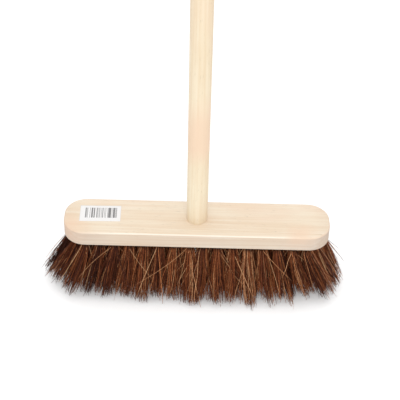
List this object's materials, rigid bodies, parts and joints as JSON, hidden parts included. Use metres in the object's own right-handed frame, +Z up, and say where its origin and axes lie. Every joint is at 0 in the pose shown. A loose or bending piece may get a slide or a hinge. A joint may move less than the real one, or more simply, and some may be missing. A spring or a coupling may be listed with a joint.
{
  "type": "push broom",
  "caption": "Push broom: a flat wooden head with rounded ends, a straight round wooden handle set square in its top, and splayed rows of stiff brown fibre tufts for sweeping hard floors.",
  "frame": {"origin": "on the floor in the plane of the trimmed bristle tips, under the middle of the head", "axes": "+X along the head, +Y from the front of the head to the rear, +Z up the handle"},
  "size_m": [0.3712, 0.1022, 1.292],
  "materials": {
    "stock_wood": "bare planed and sanded pale hardwood, grain along the head",
    "handle_wood": "bare turned and sanded pale wood, grain along the handle",
    "nail_steel": "bright drawn wire",
    "label_paper": null,
    "bristle": "stiff natural fibre, reddish brown, slightly waxy",
    "staple_wire": "flattened anchor wire"
  },
  "bodies": {
    "root": {"broom_stock": "stock_wood", "broom_handle": "handle_wood", "handle_fixing_nail": "nail_steel", "paper_label": "label_paper", "tufts_front_row_left": "bristle", "tufts_front_row_centre": "bristle", "tufts_front_row_right": "bristle", "tufts_inner_front_row_left": "bristle", "tufts_inner_front_row_centre": "bristle", "tufts_inner_front_row_right": "bristle", "tufts_middle_row_left": "bristle", "tufts_middle_row_centre": "bristle", "tufts_middle_row_right": "bristle", "tufts_inner_rear_row_left": "bristle", "tufts_inner_rear_row_centre": "bristle", "tufts_inner_rear_row_right": "bristle", "tufts_rear_row_left": "bristle", "tufts_rear_row_centre": "bristle", "tufts_rear_row_right": "bristle", "staples_front_row": "staple_wire", "staples_inner_front_row": "staple_wire", "staples_middle_row": "staple_wire", "staples_inner_rear_row": "staple_wire", "staples_rear_row": "staple_wire"}
  },
  "joints": []
}
